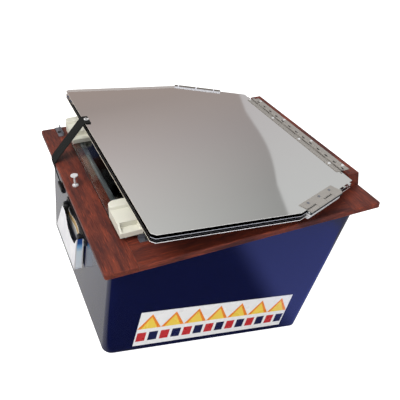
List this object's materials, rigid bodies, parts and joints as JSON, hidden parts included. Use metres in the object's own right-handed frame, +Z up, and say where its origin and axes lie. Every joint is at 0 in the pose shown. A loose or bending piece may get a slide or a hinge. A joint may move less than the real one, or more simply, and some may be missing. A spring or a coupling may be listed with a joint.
{
  "type": "box solar cooker",
  "caption": "Folded box solar cooker: tapered navy case, wooden deck, glass oven door with cream latches, stack of hinged mirror reflectors, strap and carry handle.",
  "frame": {"origin": "middle of the case's flat base, on the floor it stands on", "axes": "+Z up; +X towards the high wall with the reflector hinge; -X the low wall with the carry handle; -Y the long side wall nearest the front latch"},
  "size_m": [0.4742, 0.5343, 0.3347],
  "materials": {
    "navy_shell": "gloss",
    "insulation": "matte",
    "black_sheet": "satin",
    "mahogany": "gloss",
    "gasket_rubber": "matte",
    "pane": "polished",
    "hinge_steel": "satin",
    "bright_steel": "polished",
    "mirror_sheet": "polished",
    "cream_plastic": "satin",
    "black_screw": "satin",
    "black_webbing": "matte",
    "black_plastic": "satin",
    "white_card": "satin",
    "tray_sheet": "satin",
    "dial_glass": "polished"
  },
  "bodies": {
    "case": {"case_shell": "navy_shell", "insulation": "insulation", "oven_chamber": "black_sheet", "low_board": "mahogany", "high_board": "mahogany", "front_board": "mahogany", "back_board": "mahogany", "hinge_block": "mahogany", "door_gasket": "gasket_rubber", "door_hinge_leaves": "hinge_steel", "door_hinge_pins": "bright_steel", "glass_stops": "bright_steel", "stop_screws": "black_screw", "thumb_screw_insert": "bright_steel", "long_hinge_block_leaf": "hinge_steel", "long_hinge_pin": "bright_steel", "block_screws": "bright_steel", "strap_webbing": "black_webbing", "strap_tail": "black_webbing", "strap_eyelet": "bright_steel", "strap_anchor": "black_plastic", "handle_plate": "black_plastic", "handle_screws": "black_screw", "tray_pivots": "bright_steel", "thermometer_case": "bright_steel", "thermometer_lens": "dial_glass", "leg_guide": "hinge_steel", "leg_guide_screws": "bright_steel"},
    "reflectors": {"back_reflector": "mirror_sheet", "first_side_reflector": "mirror_sheet", "front_reflector": "mirror_sheet", "second_side_reflector": "mirror_sheet", "long_hinge_panel_leaf": "hinge_steel", "panel_rivets": "bright_steel", "first_fold_hinge_rivets": "bright_steel", "first_fold_hinge_upper_leaf": "hinge_steel", "first_fold_hinge_lower_leaf": "hinge_steel", "first_fold_hinge_pin": "bright_steel", "second_fold_hinge_upper_leaf": "hinge_steel", "second_fold_hinge_lower_leaf": "hinge_steel", "second_fold_hinge_pin": "bright_steel", "third_fold_hinge_upper_leaf": "hinge_steel", "third_fold_hinge_lower_leaf": "hinge_steel", "third_fold_hinge_pin": "bright_steel"},
    "door": {"glass_door": "pane", "door_hinge_clips": "hinge_steel", "latch_screws": "bright_steel"},
    "front_latch": {"front_latch": "cream_plastic"},
    "back_latch": {"back_latch": "cream_plastic"},
    "thumb_screw": {"thumb_screw": "bright_steel"},
    "handle": {"handle_bail": "black_plastic", "card_sleeve": "white_card"},
    "tray": {"levelling_tray": "tray_sheet"},
    "leg": {"leg_bar": "hinge_steel"},
    "leg_knob": {"leg_knob": "black_plastic"}
  },
  "joints": [
    {"name": "reflector_lift", "type": "hinge", "parent": "case", "child": "reflectors", "pos_m": [0.19716, 0, 0.33187], "axis": [0, 1, 0], "range_deg": [0, 118], "deforming": ["strap_webbing", "strap_eyelet"]},
    {"name": "glass_door_lift", "type": "hinge", "parent": "case", "child": "door", "pos_m": [0.18507, 0, 0.30848], "axis": [0, 1, 0], "range_deg": [0, 77]},
    {"name": "front_latch_turn", "type": "hinge", "parent": "door", "child": "front_latch", "pos_m": [-0.18766, -0.171, 0.2226], "axis": [-0.2233, 0, 0.9748], "range_deg": [-90, 90]},
    {"name": "back_latch_turn", "type": "hinge", "parent": "door", "child": "back_latch", "pos_m": [-0.18474, 0.151, 0.22327], "axis": [-0.2233, 0, 0.9748], "range_deg": [-90, 90]},
    {"name": "thumb_screw_turn", "type": "hinge", "parent": "case", "child": "thumb_screw", "pos_m": [-0.22093, 0.005, 0.20616], "axis": [-0.2233, 0, 0.9748], "continuous": true},
    {"name": "handle_swing", "type": "hinge", "parent": "case", "child": "handle", "pos_m": [-0.21896, 0, 0.13644], "axis": [0, 1, 0], "range_deg": [0, 80]},
    {"name": "tray_swing", "type": "hinge", "parent": "case", "child": "tray", "pos_m": [0, 0, 0.172], "axis": [0, 1, 0], "range_deg": [-25, 25]},
    {"name": "leg_slide", "type": "slide", "parent": "case", "child": "leg", "axis": [-0.0262, 0, -0.9997], "range_m": [0, 0.105]},
    {"name": "leg_knob_turn", "type": "hinge", "parent": "case", "child": "leg_knob", "pos_m": [0.20605, 0, 0.15082], "axis": [0.9997, 0, -0.0262], "continuous": true}
  ],
  "couplings": [
    {"joint": "glass_door_lift", "follows": "reflector_lift", "ratio": 0.65}
  ]
}
